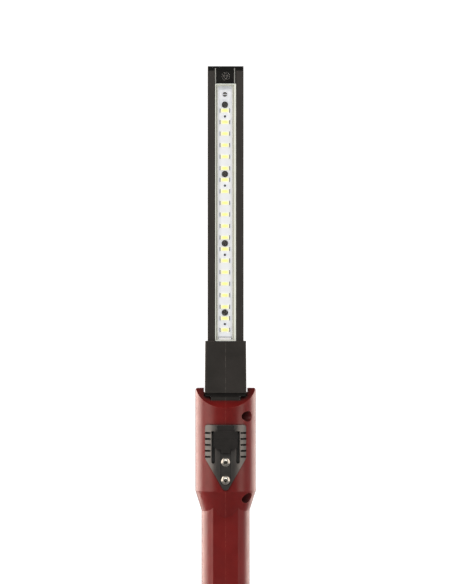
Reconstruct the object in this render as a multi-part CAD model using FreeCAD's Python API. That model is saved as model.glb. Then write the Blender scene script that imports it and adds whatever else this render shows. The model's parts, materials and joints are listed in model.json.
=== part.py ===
import FreeCAD, Part
import math
import os

from FreeCAD import Vector

# A folding rechargeable work light. A slim LED bar turns on a hinge in the head of a hand grip.
# Millimetres. +Z runs up the light from its flat tail, the LEDs face -Y, and +X is to the right
# of someone who looks at the LEDs. The origin is on the tail face.

# ---- driving dimensions -------------------------------------------------------------------------

# whole light and its levels along Z
LIGHT_TOP = 418.0
HOUSING_TOP = 214.9
HEAD_BOTTOM = 150.1
TAPER_BOTTOM = 133.2
TAIL_CAP_TOP = 43.7

# handle head: round in front, flat behind
HEAD_RADIUS = 19.2
HEAD_BACK = 12.0
HEAD_BACK_CORNER = 7.0
HEAD_SHOULDER = 5.0
TAPER_SCALE = 0.72
WALL = 2.2

# slanted front of the head and the ledge between its ears
SLANT_LOW = 202.7
SLANT_RISE = 0.77
LEDGE_TOP = 209.7
EAR_INSIDE = 13.75
EAR_ROUND = 1.5

# grip: a rectangle with wide 45 degree corner facets
GRIP_HALF = 15.25
GRIP_FRONT = -13.85
GRIP_BACK = 12.0
GRIP_FACET = 7.35
GRIP_EDGE = 0.8
GRIP_FRONT_ROUND = 18.0
GRIP_BACK_ROUND = 6.0
AXIS_Y = (GRIP_FRONT + GRIP_BACK) / 2

# hinge of the light bar
HINGE_Y = 9.0
HINGE_Z = 205.0
PIN_RADIUS = 2.0
PIN_HALF = 17.0
BUSH_RADIUS = 3.2
BUSH_INSIDE = 3.0
WASHER_RADIUS = 5.4
BARREL_RADIUS = 5.0
CHEEK_RADIUS = 7.2
KNUCKLE_HALF = 9.2
POCKET_HALF = 9.6
POCKET_FRONT = -13.2
POCKET_FRONT_FLOOR = 202.4
POCKET_BACK_FLOOR = 197.6
HANDLE_WIRE_Y = -6.0
BAR_WIRE_Y = -6.3
TONGUE_FRONT = -12.6
TONGUE_BOTTOM = 203.6

# bracket between hinge and bar
BRACKET_BOTTOM = 212.1
BRACKET_TOP = 244.8
BRACKET_HALF_TOP = 12.9
BRACKET_HALF_BOTTOM = 13.2
BRACKET_FRONT = -14.5
BRACKET_BACK = 3.5
BRACKET_CORNER = 1.2
BRACKET_SCREWS = ((-10.3, 216.3), (-1.2, 216.3))
BRACKET_SEAT_X = 9.5
FOOT_HALF = 12.9
FOOT_FRONT = -13.2
FOOT_BOTTOM = 210.0
CLAMP_SCREWS = ((-6.0, 232.0), (6.0, 232.0))
CLAMP_SINK = 0.9

# light bar
BAR_HALF = 11.35
BAR_FRONT = -12.5
BAR_BACK = 1.5
BAR_BOTTOM = 220.5
BAR_END = 415.0
CHANNEL_HALF = 6.55
RAIL_SLOPE_START = 7.8
RAIL_SLOPE_DROP = 0.35
CHANNEL_FLOOR = -5.5
LENS_HALF = 7.4
LENS_FRONT = -11.95
LENS_BACK = -10.55
BOARD_HALF = 6.35
BOARD_FRONT = -7.1
TAB_HALF = 5.65
TAB_BOTTOM = 407.1
TAB_SCREW_Z = 411.8
TAB_SCREW_SINK = 1.3
CAP_JOINT = 0.4
FIN_PITCH = 3.2
FIN_GROOVE_HALF = 0.6
FIN_GROOVE_DEPTH = 1.1
SMALL_SCREW_RADIUS = 1.0
SMALL_HEAD_RADIUS = 1.9
WIRE_RADIUS = 0.7

# light-emitting diodes in one row
LED_COUNT = 20
LED_PITCH = 7.29
LED_FIRST = 390.3
ROW_X = -0.45
LED_WIDTH = 5.6
LED_HEIGHT = 2.75
LED_THICK = 0.9
LED_RIM_X = 0.6
LED_RIM_Z = 0.35
LED_WELL = 0.5
PAD_WIDTH = 0.5
PAD_THICK = 0.2
JUMPER_Z = 400.5
JUMPER_RADIUS = 1.5
BOARD_SCREW_RADIUS = 0.9

# charging port
PORT_TOP = 192.1
PORT_SIDE = 171.1
PORT_TIP = 150.8
PORT_HALF = 12.9
PORT_RADIUS = 20.0
PORT_SEAT = 16.9
PORT_INSIDE = 15.4
PORT_TIP_OVERRUN = 1.9
FLANGE_MARGIN = 1.6
RIB_PITCH = 3.75
RIB_GROOVES = 5
RIB_GROOVE_HALF = 0.62
RIB_GROOVE_DEPTH = 2.2
RIB_INSIDE = 9.4
SLOT_INSIDE = 6.7
SLOT_OUTSIDE = 8.95
SLOT_FLOOR = -15.7
CONTACTS_Z = (168.7, 157.3)
CONTACT_RADIUS = 2.8
CONTACT_SEAT = -19.4
CONTACT_SHANK = 1.5
CONTACT_DIMPLE = 1.05
CHANNEL_SINK = 0.45
CHANNEL_WIDE = 3.3
BLOCK_HALF = 7.5
BLOCK_FRONT = -22.0
BLOCK_DEPTH = 4.0

# power button, battery, board
BUTTON_Z = 78.0
BUTTON_RADIUS = 6.0
CELL_RADIUS = 9.2
CELL_Y = -0.2
CELL_BOTTOM = 92.0
CELL_TOP = 157.0
SLEEVE_THICK = 0.4
CARRIER_FRONT = -5.0
CARRIER_BACK = 4.2
BATTERY_WIRE_X = 10.9
BATTERY_WIRE_Y = -4.6
BOARD_Y = -7.6
BOARD_THICK = 1.6
BOARD_LOW = 53.0
BOARD_HIGH = 85.0
BUTTON_PROUD = 0.9

# housing screws along X: (y, z) of each axis
SCREW_PLACES = ((-13.1, 197.4), (-11.2, 145.9), (6.3, 172.0), (6.0, 64.0))
SCREW_RADIUS = 1.25
SCREW_HEAD_RADIUS = 2.4
COUNTERBORE_RADIUS = 3.3
SCREW_SEAT_X = 7.0
SCREW_TIP_X = -7.0
BOSS_RADIUS = 2.3
CUP_WALL = 0.9
CUP_FLOOR = 1.2

# tail: swivel neck, magnet and stowed hook
NECK_RADIUS = 8.0
NECK_TOP = 50.5
NECK_GROOVE = 1.2
RETAINER_RADIUS = 10.5
RETAINER_BOTTOM = 47.3
RETAINER_TOP = 48.7
MAGNET_Y = -3.5
MAGNET_CUP_RADIUS = 9.0
MAGNET_CUP_TOP = 6.5
MAGNET_CUP_WALL = 1.2
MAGNET_CUP_ROOF = 1.4
MAGNET_SCREW_RADIUS = 1.25
HOOK_PIVOT_Y = 9.8
HOOK_PIVOT_Z = 5.2
HOOK_HALF = 6.7
HOOK_THROAT = 2.9
HOOK_FRONT = 7.9
HOOK_BACK = 11.7
HOOK_ARC_Z = 32.0
HOOK_PIN_RADIUS = 1.0
HOOK_PIN_HALF = 9.4

SLIP = 0.05
GAP = 0.3


# ---- shape helpers ------------------------------------------------------------------------------

def box(x0, x1, y0, y1, z0, z1):
    return Part.makeBox(x1 - x0, y1 - y0, z1 - z0, Vector(x0, y0, z0))


def rod_x(radius, x0, x1, y, z):
    return Part.makeCylinder(radius, x1 - x0, Vector(x0, y, z), Vector(1, 0, 0))


def rod_y(radius, y0, y1, x, z):
    return Part.makeCylinder(radius, y1 - y0, Vector(x, y0, z), Vector(0, 1, 0))


def rod_z(radius, z0, z1, x, y):
    return Part.makeCylinder(radius, z1 - z0, Vector(x, y, z0), Vector(0, 0, 1))


def fuse(shapes):
    result = shapes[0]
    for shape in shapes[1:]:
        result = result.fuse(shape)
    return result.removeSplitter()


def fuse_apart(shapes):
    return shapes[0].fuse(shapes[1:])


def cut(shape, tools):
    for tool in tools:
        shape = shape.cut(tool)
    return shape


def in_xy(z):
    return lambda u, v: Vector(u, v, z)


def in_xz(y):
    return lambda u, v: Vector(u, y, v)


def in_yz(x):
    return lambda u, v: Vector(x, u, v)


def rounded_wire(corners, place):
    """Closed wire through corners (u, v, radius), with each corner rounded by its radius."""
    ends = []
    for index, (u, v, radius) in enumerate(corners):
        corner = Vector(u, v, 0)
        before = Vector(*corners[index - 1][:2], 0) - corner
        after = Vector(*corners[(index + 1) % len(corners)][:2], 0) - corner
        if radius == 0:
            ends.append((corner, None, corner))
            continue
        before.normalize()
        after.normalize()
        half_angle = before.getAngle(after) / 2
        reach = radius / math.tan(half_angle)
        inward = before + after
        inward.normalize()
        middle = corner + inward * (radius / math.sin(half_angle) - radius)
        ends.append((corner + before * reach, middle, corner + after * reach))
    edges = []
    for index, (start, middle, finish) in enumerate(ends):
        if middle is not None:
            points = [place(p.x, p.y) for p in (start, middle, finish)]
            edges.append(Part.Arc(*points).toShape())
        following = ends[(index + 1) % len(ends)][0]
        if finish.distanceToPoint(following) > 1e-6:
            line = Part.LineSegment(place(finish.x, finish.y), place(following.x, following.y))
            edges.append(line.toShape())
    return Part.Wire(edges)


def slab(corners, place, direction):
    """Solid pulled along direction from the rounded outline that place puts in space."""
    return Part.Face(rounded_wire(corners, place)).extrude(direction)


def sharp(points):
    return [(u, v, 0) for u, v in points]


def mirror_x(shape):
    return shape.mirror(Vector(0, 0, 0), Vector(1, 0, 0))


def group(shapes):
    return Part.makeCompound(shapes)


def turned(shape, axis, angle):
    result = shape.copy()
    result.rotate(Vector(0, 0, 0), axis, angle)
    return result


def moved(shape, x, y, z):
    result = shape.copy()
    result.translate(Vector(x, y, z))
    return result


def cross_screw(radius, head_radius, head_height, length):
    """Pan-head screw along +X with its seat at the origin, its tip at -length."""
    shank = rod_x(radius, -length, 0, 0, 0)
    head = rod_x(head_radius, 0, head_height, 0, 0)
    reach = head_radius * 0.6
    width = head_radius * 0.18
    depth = head_height * 0.55
    cross = [
        box(head_height - depth, head_height + 1, -reach, reach, -width, width),
        box(head_height - depth, head_height + 1, -width, width, -reach, reach),
    ]
    return cut(fuse([shank, head]), cross)


# ---- handle -------------------------------------------------------------------------------------

def head_wire(inset, scale, z):
    radius = (HEAD_RADIUS - inset) * scale
    back = (HEAD_BACK - inset) * scale
    corner = (HEAD_BACK_CORNER - inset) * scale
    shoulder = HEAD_SHOULDER * scale
    bow = corner * math.sqrt(0.5)
    edges = [
        Part.Arc(Vector(-radius, 0, z), Vector(0, -radius, z), Vector(radius, 0, z)),
        Part.LineSegment(Vector(radius, 0, z), Vector(radius, shoulder, z)),
        Part.Arc(Vector(radius, shoulder, z),
                 Vector(radius - corner + bow, shoulder + bow, z),
                 Vector(radius - corner, back, z)),
        Part.LineSegment(Vector(radius - corner, back, z), Vector(corner - radius, back, z)),
        Part.Arc(Vector(corner - radius, back, z),
                 Vector(corner - radius - bow, shoulder + bow, z),
                 Vector(-radius, shoulder, z)),
        Part.LineSegment(Vector(-radius, shoulder, z), Vector(-radius, 0, z)),
    ]
    return Part.Wire([edge.toShape() for edge in edges])


def grip_corners(inset):
    half = GRIP_HALF - inset
    front = GRIP_FRONT + inset
    back = GRIP_BACK - inset
    facet = GRIP_FACET - inset * (2 - math.sqrt(2))
    edge = GRIP_EDGE
    front_round = GRIP_FRONT_ROUND - inset
    back_round = GRIP_BACK_ROUND - inset
    return [
        (-half, front + facet, front_round), (facet - half, front, edge),
        (half - facet, front, edge), (half, front + facet, front_round),
        (half, back - facet, back_round), (half - facet, back, edge),
        (facet - half, back, edge), (-half, back - facet, back_round),
    ]


def grip_prism(inset, z0, z1):
    return slab(grip_corners(inset), in_xy(z0), Vector(0, 0, z1 - z0))


def head_body(inset, top):
    head = Part.Face(head_wire(inset, 1.0, HEAD_BOTTOM)).extrude(Vector(0, 0, top - HEAD_BOTTOM))
    taper = Part.makeLoft([head_wire(inset, TAPER_SCALE, TAPER_BOTTOM),
                           head_wire(inset, 1.0, HEAD_BOTTOM)], True, True)
    return head.fuse(taper)


def housing_outside():
    body = head_body(0.0, HOUSING_TOP)
    body = body.fuse(grip_prism(0.0, TAIL_CAP_TOP + GAP, HEAD_BOTTOM - WALL))
    return body.removeSplitter()


def above_slant():
    far = 30.0
    ceiling = HOUSING_TOP + 10.0
    crest = -HEAD_RADIUS + (HOUSING_TOP - SLANT_LOW) / SLANT_RISE
    outline = [
        (-far, SLANT_LOW - (far - HEAD_RADIUS) * SLANT_RISE),
        (crest, HOUSING_TOP), (crest, ceiling), (-far, ceiling),
    ]
    return slab(sharp(outline), in_yz(-far), Vector(2 * far, 0, 0))


def hinge_pocket():
    ceiling = HOUSING_TOP + 5
    behind = HEAD_BACK + 5
    outline = [
        (POCKET_FRONT, ceiling), (POCKET_FRONT, POCKET_FRONT_FLOOR), (3.0, POCKET_FRONT_FLOOR),
        (5.5, POCKET_BACK_FLOOR), (behind, POCKET_BACK_FLOOR), (behind, ceiling),
    ]
    return slab(sharp(outline), in_yz(-POCKET_HALF), Vector(2 * POCKET_HALF, 0, 0))


def above_ledge():
    """Room between the ears, with a round cheek left standing beside each side of the hinge."""
    room = box(-EAR_INSIDE, EAR_INSIDE, -30, 30, LEDGE_TOP, HOUSING_TOP + 5)
    return room.cut(rod_x(CHEEK_RADIUS, -EAR_INSIDE, EAR_INSIDE, HINGE_Y, HINGE_Z))


def ear_corner():
    middle_x = HEAD_RADIUS - EAR_ROUND
    middle_z = HOUSING_TOP - EAR_ROUND
    corner = box(middle_x, HEAD_RADIUS + 1, -30, 30, middle_z, HOUSING_TOP + 1)
    return corner.cut(rod_y(EAR_ROUND, -30, 30, middle_x, middle_z))


def port_corners(margin):
    half = PORT_HALF + margin
    tip = PORT_TIP - PORT_TIP_OVERRUN - 1.5 * margin
    return [
        (-half, PORT_TOP + margin, 1.5), (half, PORT_TOP + margin, 1.5),
        (half, PORT_SIDE - 0.5 * margin, 2.0), (0, tip, 2.2),
        (-half, PORT_SIDE - 0.5 * margin, 2.0),
    ]


def port_shell(margin, inner, outer):
    """Part of a round shell about the Z axis, trimmed in front to the outline of the port."""
    low, high = PORT_TIP - 10, PORT_TOP + 10
    ring = rod_z(outer, low, high, 0, 0).cut(rod_z(inner, low, high, 0, 0))
    trim = slab(port_corners(margin), in_xz(-30), Vector(0, 30, 0))
    return ring.common(trim)


def above_taper(shape):
    """The shape without what lies below the straight part of the head."""
    return shape.cut(box(-30, 30, -30, 30, PORT_TIP - 20, HEAD_BOTTOM + 0.1))


def screw_bosses():
    """Posts for the housing screws, each with a cup around its counterbore."""
    bosses = []
    for y, z in SCREW_PLACES:
        bosses.append(rod_x(BOSS_RADIUS, -HEAD_RADIUS, HEAD_RADIUS, y, z))
    for y, z in SCREW_PLACES[1:]:
        bosses.append(rod_x(COUNTERBORE_RADIUS + CUP_WALL, SCREW_SEAT_X - CUP_FLOOR, HEAD_RADIUS, y, z))
    return bosses


def housing_shell():
    outside = housing_outside()
    cavity = head_body(WALL, HINGE_Z - 10.5)
    cavity = cavity.fuse(grip_prism(WALL, TAIL_CAP_TOP + GAP + 3.0, HEAD_BOTTOM))
    bosses = fuse(screw_bosses()).common(outside)
    bosses = bosses.cut(rod_z(CELL_RADIUS + 0.5, CELL_BOTTOM - 2, CELL_TOP + 2, 0, CELL_Y))
    shell = outside.cut(cavity).fuse(bosses)
    shell = cut(shell, [
        above_slant(),
        above_ledge(),
        ear_corner(), mirror_x(ear_corner()),
        hinge_pocket(),
        rod_x(BARREL_RADIUS + 0.5, -POCKET_HALF, POCKET_HALF, HINGE_Y, HINGE_Z),
        rod_x(PIN_RADIUS + 0.02, -PIN_HALF - 0.2, PIN_HALF + 0.2, HINGE_Y, HINGE_Z),
        rod_z(2.5, HINGE_Z - 12, TONGUE_BOTTOM, 0, HANDLE_WIRE_Y),
        port_shell(0.1, PORT_SEAT, 30),
        rod_y(BUTTON_RADIUS + 0.2, GRIP_FRONT - 1, GRIP_FRONT + WALL + 1, 0, BUTTON_Z),
        rod_z(NECK_RADIUS + SLIP, TAIL_CAP_TOP, TAIL_CAP_TOP + 5, 0, AXIS_Y),
    ])
    for y, z in SCREW_PLACES:
        shell = shell.cut(rod_x(SCREW_RADIUS, SCREW_TIP_X, SCREW_SEAT_X, y, z))
        shell = shell.cut(rod_x(COUNTERBORE_RADIUS, SCREW_SEAT_X, 30, y, z))
    return shell


def housing_half(shell, side):
    keep = box(0, 40, -40, 40, 0, 250) if side > 0 else box(-40, 0, -40, 40, 0, 250)
    half = shell.common(keep)
    solids = sorted(half.Solids, key=lambda solid: solid.Volume)
    return solids[-1]


def housing_screws():
    length = SCREW_SEAT_X - SCREW_TIP_X
    screw = cross_screw(SCREW_RADIUS, SCREW_HEAD_RADIUS, 1.8, length)
    return group([moved(screw, SCREW_SEAT_X, y, z) for y, z in SCREW_PLACES])


# ---- charging port ------------------------------------------------------------------------------

def rib_grooves():
    core = rod_z(PORT_RADIUS - RIB_GROOVE_DEPTH, PORT_TIP, PORT_TOP, 0, 0)
    grooves = []
    for index in range(RIB_GROOVES):
        z = PORT_TOP - 5.1 - index * RIB_PITCH
        groove = box(RIB_INSIDE, PORT_HALF + 1.6, -21, -10, z - RIB_GROOVE_HALF, z + RIB_GROOVE_HALF)
        grooves.append(groove.cut(core))
    return fuse_apart(grooves)


def latch_slot():
    top = PORT_TOP - 3.9
    bottom = PORT_SIDE - 3.4
    return slab([(SLOT_INSIDE, top, 0.3), (SLOT_OUTSIDE, top, 0.3),
                 (SLOT_OUTSIDE, bottom, 1.1), (SLOT_INSIDE, bottom, 1.1)],
                in_xz(-25), Vector(0, 25 + SLOT_FLOOR, 0))


def contact_channel():
    """Shallow channel with a round end that the two contacts stand in."""
    low = CONTACTS_Z[1]
    floor = rod_z(PORT_RADIUS - CHANNEL_SINK, PORT_TIP, PORT_TOP, 0, 0)
    channel = box(-CHANNEL_WIDE, CHANNEL_WIDE, -25, -15, low, PORT_TOP - 10)
    return channel.fuse(rod_y(CHANNEL_WIDE, -25, -15, 0, low)).cut(floor)


def charge_port_plate():
    flange = above_taper(port_shell(FLANGE_MARGIN, PORT_INSIDE, PORT_SEAT - 0.1))
    plate = port_shell(0.0, PORT_INSIDE, PORT_RADIUS).fuse(flange)
    tools = [rib_grooves(), latch_slot(), contact_channel()]
    tools += [mirror_x(tools[0]), mirror_x(tools[1])]
    for z in CONTACTS_Z:
        tools.append(rod_y(CONTACT_SHANK, -25, -10, 0, z))
        tools.append(rod_y(CONTACT_RADIUS + 0.1, -25, CONTACT_SEAT, 0, z))
    plate = cut(plate, tools)
    pip = rod_y(0.4, -20.0, -19.0, 1.4, sum(CONTACTS_Z) / 2)
    return plate.fuse([pip, mirror_x(pip)]).cut(charge_block())


def charge_block():
    half = BLOCK_HALF
    outline = [
        (-half, PORT_TOP - 4.0, 0.6), (half, PORT_TOP - 4.0, 0.6), (half, PORT_TOP - 13.4, 0.4),
        (5.6, PORT_TOP - 15.3, 0.4), (3.0, PORT_TOP - 15.3, 0.3), (3.0, PORT_TOP - 17.6, 0.8),
        (-3.0, PORT_TOP - 17.6, 0.8), (-3.0, PORT_TOP - 15.3, 0.3), (-5.6, PORT_TOP - 15.3, 0.4),
        (-half, PORT_TOP - 13.4, 0.4),
    ]
    body = slab(outline, in_xz(BLOCK_FRONT), Vector(0, BLOCK_DEPTH, 0))
    neck = slab([(-4.5, PORT_TOP - 5.0, 0), (4.5, PORT_TOP - 5.0, 0),
                 (5.5, PORT_TOP - 0.4, 0.5), (-5.5, PORT_TOP - 0.4, 0.5)],
                in_xz(BLOCK_FRONT + 0.6), Vector(0, BLOCK_DEPTH - 0.6, 0))
    crease = box(-half, half, BLOCK_FRONT, BLOCK_FRONT + 0.25, PORT_TOP - 9.3, PORT_TOP - 9.0)
    return fuse([body, neck]).cut(crease)


def charge_contacts():
    studs = []
    for z in CONTACTS_Z:
        dome = Part.makeSphere(4.2, Vector(0, CONTACT_SEAT + 2.5, z))
        dome = dome.common(rod_y(CONTACT_RADIUS, -25, CONTACT_SEAT, 0, z))
        stud = dome.fuse(rod_y(CONTACT_SHANK, CONTACT_SEAT - 0.1, -12.9, 0, z)).removeSplitter()
        studs.append(stud.cut(rod_y(CONTACT_DIMPLE, -25, CONTACT_SEAT - 1.0, 0, z)))
    return group(studs)


def contact_nuts():
    across = 3.0
    nuts = []
    for z in CONTACTS_Z:
        angles = [math.radians(60 * step) for step in range(6)]
        corners = sharp([(across * math.cos(a), z + across * math.sin(a)) for a in angles])
        nut = slab(corners, in_xz(-15.0), Vector(0, 1.4, 0))
        nuts.append(nut.cut(rod_y(CONTACT_SHANK, -20, -10, 0, z)))
    return group(nuts)


def charge_leads():
    front, back = -13.6, -13.2
    outside = 5.2
    leads = []
    for side, z in zip((-1, 1), CONTACTS_Z):
        eye = rod_y(2.6, front, back, 0, z)
        neck = box(*sorted((0, side * outside)), front, back, z - 1.2, z + 1.2)
        strip = sorted((side * (outside - 1.6), side * outside))
        tail = box(*strip, front, back, HEAD_BOTTOM + 2.4, z + 1.2)
        leads.append(fuse([eye, neck, tail]).cut(rod_y(CONTACT_SHANK, -20, -10, 0, z)))
    return group(leads)


def charge_port_gasket():
    seal = port_shell(1.5, PORT_INSIDE - 0.6, PORT_INSIDE)
    return above_taper(seal.cut(port_shell(-1.5, 14.0, 16.0)))


# ---- hinge --------------------------------------------------------------------------------------

def hinge_pin():
    return rod_x(PIN_RADIUS, -PIN_HALF, PIN_HALF, HINGE_Y, HINGE_Z)


def hinge_bushes():
    bush = rod_x(BUSH_RADIUS, BUSH_INSIDE, KNUCKLE_HALF, HINGE_Y, HINGE_Z)
    bush = bush.cut(rod_x(PIN_RADIUS + SLIP, BUSH_INSIDE, KNUCKLE_HALF, HINGE_Y, HINGE_Z))
    return group([bush, mirror_x(bush)])


def hinge_washers():
    washer = rod_x(WASHER_RADIUS, KNUCKLE_HALF + 0.1, POCKET_HALF, HINGE_Y, HINGE_Z)
    washer = washer.cut(rod_x(PIN_RADIUS + 0.02, KNUCKLE_HALF, POCKET_HALF, HINGE_Y, HINGE_Z))
    return group([washer, mirror_x(washer)])


# ---- bracket ------------------------------------------------------------------------------------

def bracket_section(half, z):
    corner = BRACKET_CORNER
    return rounded_wire([
        (-half, BRACKET_FRONT, corner), (half, BRACKET_FRONT, corner),
        (half, BRACKET_BACK, corner), (-half, BRACKET_BACK, corner),
    ], in_xy(z))


def bracket_whole():
    body = Part.makeLoft([bracket_section(BRACKET_HALF_BOTTOM, BRACKET_BOTTOM),
                          bracket_section(BRACKET_HALF_TOP, BRACKET_TOP)], True, True)
    arm = slab([
        (TONGUE_FRONT, BRACKET_BOTTOM + 0.5, 0), (TONGUE_FRONT, TONGUE_BOTTOM, 0.8),
        (4.0, TONGUE_BOTTOM, 0), (HINGE_Y, HINGE_Z - BARREL_RADIUS + 0.2, 0),
        (HINGE_Y, HINGE_Z + BARREL_RADIUS - 0.2, 0), (BRACKET_BACK - 0.2, BRACKET_BOTTOM + 0.5, 0),
    ], in_yz(-KNUCKLE_HALF), Vector(2 * KNUCKLE_HALF, 0, 0))
    foot = box(-FOOT_HALF, FOOT_HALF, FOOT_FRONT, BRACKET_BACK, FOOT_BOTTOM, BRACKET_BOTTOM + 0.5)
    barrel = rod_x(BARREL_RADIUS, -KNUCKLE_HALF, KNUCKLE_HALF, HINGE_Y, HINGE_Z)
    whole = fuse([body, arm, foot, barrel])
    socket = box(-BAR_HALF, BAR_HALF, BAR_FRONT, BAR_BACK, BAR_BOTTOM, BRACKET_TOP + 1)
    wire_way = box(-1.9, 1.9, BAR_WIRE_Y - 1.1, BAR_WIRE_Y + 1.1, TONGUE_BOTTOM - 1, BAR_BOTTOM)
    bore = rod_x(BUSH_RADIUS, BUSH_INSIDE, KNUCKLE_HALF, HINGE_Y, HINGE_Z)
    whole = cut(whole, [
        socket, wire_way, bore, mirror_x(bore),
        rod_x(PIN_RADIUS + GAP, -BUSH_INSIDE - 1, BUSH_INSIDE + 1, HINGE_Y, HINGE_Z),
    ])
    for y, z in BRACKET_SCREWS:
        whole = whole.cut(rod_x(SMALL_SCREW_RADIUS, 0.5 - BRACKET_SEAT_X, BRACKET_SEAT_X, y, z))
        whole = whole.cut(rod_x(SMALL_HEAD_RADIUS + 0.2, BRACKET_SEAT_X, 20, y, z))
    for x, z in CLAMP_SCREWS:
        seat = BRACKET_BACK - CLAMP_SINK
        whole = whole.cut(rod_y(SMALL_SCREW_RADIUS, BAR_BACK, BRACKET_BACK, x, z))
        whole = whole.cut(rod_y(SMALL_HEAD_RADIUS + 0.1, seat, BRACKET_BACK, x, z))
    return whole


def bracket_screws():
    length = 2 * BRACKET_SEAT_X - 0.5
    screw = cross_screw(SMALL_SCREW_RADIUS, SMALL_HEAD_RADIUS, 1.2, length)
    return group([moved(screw, BRACKET_SEAT_X, y, z) for y, z in BRACKET_SCREWS])


def bar_clamp_screws():
    screw = cross_screw(SMALL_SCREW_RADIUS, SMALL_HEAD_RADIUS, 0.8, 4.1)
    screw = turned(screw, Vector(0, 0, 1), 90)
    return group([moved(screw, x, BRACKET_BACK - CLAMP_SINK, z) for x, z in CLAMP_SCREWS])


# ---- light bar ----------------------------------------------------------------------------------

def bar_extrusion():
    lip = 0.4
    section = [
        (-BAR_HALF, BAR_FRONT, lip), (-RAIL_SLOPE_START, BAR_FRONT, 0),
        (-CHANNEL_HALF, BAR_FRONT + RAIL_SLOPE_DROP, 0),
        (-CHANNEL_HALF, LENS_FRONT - SLIP, 0), (-LENS_HALF - SLIP, LENS_FRONT - SLIP, 0),
        (-LENS_HALF - SLIP, LENS_BACK + SLIP, 0), (-CHANNEL_HALF, LENS_BACK + SLIP, 0),
        (-CHANNEL_HALF, CHANNEL_FLOOR, 0), (CHANNEL_HALF, CHANNEL_FLOOR, 0),
        (CHANNEL_HALF, LENS_BACK + SLIP, 0), (LENS_HALF + SLIP, LENS_BACK + SLIP, 0),
        (LENS_HALF + SLIP, LENS_FRONT - SLIP, 0), (CHANNEL_HALF, LENS_FRONT - SLIP, 0),
        (CHANNEL_HALF, BAR_FRONT + RAIL_SLOPE_DROP, 0),
        (RAIL_SLOPE_START, BAR_FRONT, 0), (BAR_HALF, BAR_FRONT, lip),
        (BAR_HALF, BAR_BACK, lip), (-BAR_HALF, BAR_BACK, lip),
    ]
    bar = slab(section, in_xy(BAR_BOTTOM), Vector(0, 0, BAR_END - BAR_BOTTOM))
    groove_floor = BAR_BACK - FIN_GROOVE_DEPTH
    tools = []
    for step in range(-3, 4):
        x = step * FIN_PITCH
        tools.append(box(x - FIN_GROOVE_HALF, x + FIN_GROOVE_HALF, groove_floor, BAR_BACK + 1,
                         BRACKET_TOP + 2, BAR_END))
    for z in board_screw_levels():
        tools.append(rod_y(BOARD_SCREW_RADIUS, CHANNEL_FLOOR, CHANNEL_FLOOR + 3.0, ROW_X, z))
    for x, z in CLAMP_SCREWS:
        tools.append(rod_y(SMALL_SCREW_RADIUS, BAR_BACK - 3.2, BAR_BACK, x, z))
    tools.append(rod_y(1.2, CHANNEL_FLOOR, CHANNEL_FLOOR + 3.5, 0, TAB_SCREW_Z))
    return cut(bar, tools)


def led_level(index):
    return LED_FIRST - index * LED_PITCH


def board_screw_levels():
    return [led_level(step - 0.5) for step in (0, 6, 12, 18)]


def locating_hole_levels():
    return [led_level(step + 0.5) for step in (0, 6, 12, 18)]


def led_board():
    board = box(-BOARD_HALF, BOARD_HALF, BOARD_FRONT, CHANNEL_FLOOR, BAR_BOTTOM + 1, TAB_BOTTOM - 0.2)
    holes = [(BOARD_SCREW_RADIUS, z) for z in board_screw_levels()]
    holes += [(0.8, z) for z in locating_hole_levels()]
    return cut(board, [rod_y(radius, BOARD_FRONT, CHANNEL_FLOOR, ROW_X, z) for radius, z in holes])


def row_box(half_width, front, back, half_height, z):
    return box(ROW_X - half_width, ROW_X + half_width, front, back, z - half_height, z + half_height)


def led_well(front, z):
    return row_box(LED_WIDTH / 2 - LED_RIM_X, front, BOARD_FRONT - LED_WELL,
                   LED_HEIGHT / 2 - LED_RIM_Z, z)


def led_packages():
    front = BOARD_FRONT - LED_THICK
    packages = []
    for index in range(LED_COUNT):
        z = led_level(index)
        package = row_box(LED_WIDTH / 2, front, BOARD_FRONT, LED_HEIGHT / 2, z)
        packages.append(package.cut(led_well(front, z)))
    return group(packages)


def led_phosphors():
    front = BOARD_FRONT - LED_THICK + 0.1
    return group([led_well(front, led_level(index)) for index in range(LED_COUNT)])


def solder_pads():
    front = BOARD_FRONT - PAD_THICK
    pads = []
    for index in range(LED_COUNT):
        z = led_level(index)
        strip = row_box(LED_WIDTH / 2 + PAD_WIDTH, front, BOARD_FRONT, LED_HEIGHT / 2, z)
        pads += strip.cut(row_box(LED_WIDTH / 2, front, BOARD_FRONT, LED_HEIGHT / 2, z)).Solids
    jumper = rod_y(JUMPER_RADIUS, front, BOARD_FRONT, ROW_X, JUMPER_Z)
    pads += jumper.cut(row_box(JUMPER_RADIUS, front, BOARD_FRONT, 0.2, JUMPER_Z)).Solids
    return group(pads)


def board_screws():
    screw = turned(cross_screw(BOARD_SCREW_RADIUS, 2.05, 1.2, 4.5), Vector(0, 0, 1), -90)
    return group([moved(screw, ROW_X, BOARD_FRONT, z) for z in board_screw_levels()])


def lens():
    plate = box(-LENS_HALF, LENS_HALF, LENS_FRONT, LENS_BACK, BAR_BOTTOM + 1, BAR_END - 0.2)
    notch = box(-TAB_HALF - 0.1, TAB_HALF + 0.1, -20, 0, TAB_BOTTOM - 0.1, BAR_END + 1)
    return plate.cut(notch)


def end_cap():
    edge = 0.6
    joint = BAR_END + CAP_JOINT
    plate = slab([(-BAR_HALF, BAR_FRONT, edge), (BAR_HALF, BAR_FRONT, edge),
                  (BAR_HALF, BAR_BACK, edge), (-BAR_HALF, BAR_BACK, edge)],
                 in_xy(joint), Vector(0, 0, LIGHT_TOP - joint))
    tab = box(-TAB_HALF, TAB_HALF, BAR_FRONT + 0.2, CHANNEL_FLOOR, TAB_BOTTOM, joint + 0.1)
    return cut(fuse([plate, tab]), [
        rod_y(1.2, -20, CHANNEL_FLOOR, 0, TAB_SCREW_Z),
        rod_y(2.7, -20, BAR_FRONT + TAB_SCREW_SINK, 0, TAB_SCREW_Z),
    ])


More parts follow.
